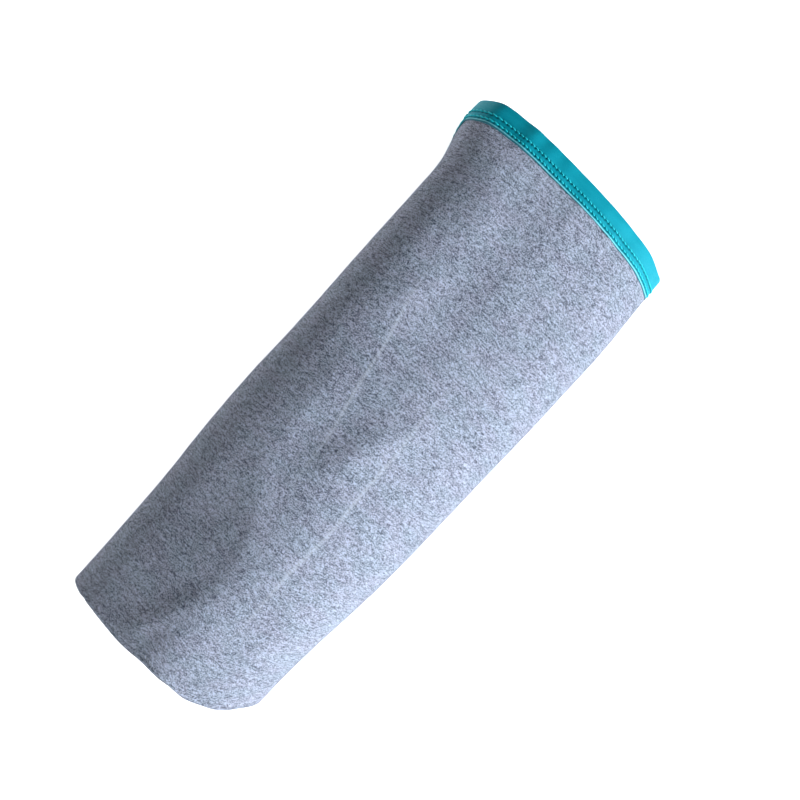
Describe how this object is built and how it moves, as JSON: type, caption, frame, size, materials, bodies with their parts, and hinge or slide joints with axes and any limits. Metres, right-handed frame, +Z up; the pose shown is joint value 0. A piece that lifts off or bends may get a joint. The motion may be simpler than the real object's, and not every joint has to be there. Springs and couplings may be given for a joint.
{
  "type": "quick dry towel",
  "caption": "Jersey travel towel with bound, coverstitched edges, folded in half along its length and rolled up flat, lying on its side",
  "frame": {"origin": "on the surface the roll lies on, under the middle of the roll's bounding box", "axes": "+X along the roll, from the towel's lengthwise fold to its bound long edges; +Y across the roll, to the side where the outer layer comes up from underneath; +Z up"},
  "size_m": [0.3502, 0.135, 0.0547],
  "materials": {
    "heather_jersey": "matte brushed jersey, blue-grey heather",
    "binding_tape": "satin stretch tape, teal",
    "stitch_thread": "polyester sewing thread, teal"
  },
  "bodies": {
    "root": {"towel_cloth": "heather_jersey", "outer_side_edge_binding": "binding_tape", "outer_side_edge_needle_thread_1": "stitch_thread", "outer_side_edge_needle_thread_2": "stitch_thread", "outer_side_edge_looper_thread": "stitch_thread", "inner_side_edge_binding": "binding_tape", "inner_side_edge_needle_thread_1": "stitch_thread", "inner_side_edge_needle_thread_2": "stitch_thread", "inner_side_edge_looper_thread": "stitch_thread", "core_end_edge_binding": "binding_tape", "core_end_edge_needle_thread_1": "stitch_thread", "core_end_edge_needle_thread_2": "stitch_thread", "core_end_edge_looper_thread": "stitch_thread", "tail_end_edge_binding": "binding_tape", "tail_end_edge_needle_thread_1": "stitch_thread", "tail_end_edge_needle_thread_2": "stitch_thread", "tail_end_edge_looper_thread": "stitch_thread"}
  },
  "joints": []
}
